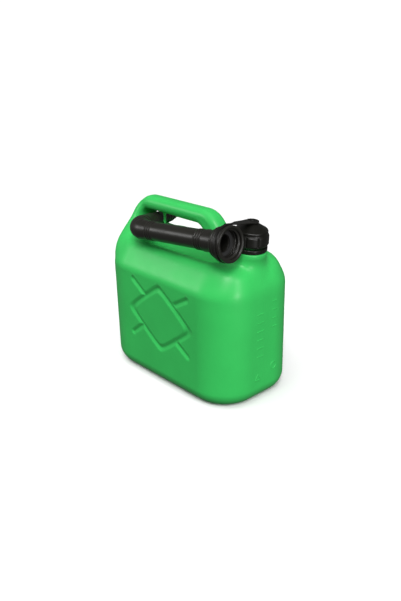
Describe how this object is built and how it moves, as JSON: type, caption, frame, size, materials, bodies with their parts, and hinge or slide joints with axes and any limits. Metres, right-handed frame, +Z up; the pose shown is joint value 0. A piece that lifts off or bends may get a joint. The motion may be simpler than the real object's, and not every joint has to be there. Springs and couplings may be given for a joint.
{
  "type": "gas can",
  "caption": "Blow-moulded plastic fuel can with a carrying handle, a ribbed screw cap held by a strap, and a pouring spout stowed through the handle.",
  "frame": {"origin": "centre of the base, on the surface the can stands on", "axes": "+Z up, +X towards the neck and cap, -Y the side the spout is stowed on"},
  "size_m": [0.2665, 0.145, 0.2505],
  "materials": {
    "green_plastic": "satin blow-moulded polyethylene",
    "cap_plastic": "satin black",
    "liner_plastic": "satin black",
    "seal_foam": "closed-cell foam",
    "spout_plastic": "soft gloss black",
    "gasket_rubber": "matt black rubber"
  },
  "bodies": {
    "can": {"can_body": "green_plastic"},
    "tamper_ring": {"tamper_ring": "cap_plastic"},
    "cap_lift": {"cap_seal": "seal_foam"},
    "cap_inner": {"cap_inner": "liner_plastic"},
    "cap_shell": {"cap_shell": "cap_plastic"},
    "nozzle": {"spout_nozzle": "spout_plastic"},
    "spout": {"spout_tube": "spout_plastic", "cap_strap": "cap_plastic"},
    "collar": {"spout_collar": "spout_plastic", "collar_gasket": "gasket_rubber"}
  },
  "joints": [
    {"name": "ring_spin", "type": "hinge", "parent": "can", "child": "tamper_ring", "pos_m": [0.1067, 0, 0.2073], "axis": [0.1149, 0, 0.9934], "continuous": true},
    {"name": "cap_rise", "type": "slide", "parent": "can", "child": "cap_lift", "axis": [0.1149, 0, 0.9934], "range_m": [0, 0.0151], "deforming": ["cap_strap"]},
    {"name": "cap_turn", "type": "hinge", "parent": "cap_lift", "child": "cap_inner", "pos_m": [0.1067, 0, 0.2073], "axis": [0.1149, 0, 0.9934], "range_deg": [0, 1080]},
    {"name": "cap_push", "type": "slide", "parent": "cap_inner", "child": "cap_shell", "axis": [-0.1149, 0, -0.9934], "range_m": [0, 0.0014], "stiffness_N_per_m": 4000},
    {"name": "spout_pull", "type": "slide", "parent": "can", "child": "nozzle", "axis": [0.3526, -0.9349, 0.0404], "range_m": [0, 0.11], "deforming": ["cap_strap"]},
    {"name": "spout_swing", "type": "hinge", "parent": "nozzle", "child": "spout", "pos_m": [-0.076, 0, 0.2115], "axis": [0.3526, -0.9349, 0.0404], "range_deg": [0, 75], "deforming": ["cap_strap"]},
    {"name": "collar_spin", "type": "hinge", "parent": "spout", "child": "collar", "pos_m": [0.123, -0.0482, 0.2269], "axis": [0.9959, 0.054, 0.0725], "continuous": true}
  ],
  "couplings": [
    {"joint": "cap_rise", "follows": "cap_turn", "m_per_rad": 0.00079577}
  ]
}
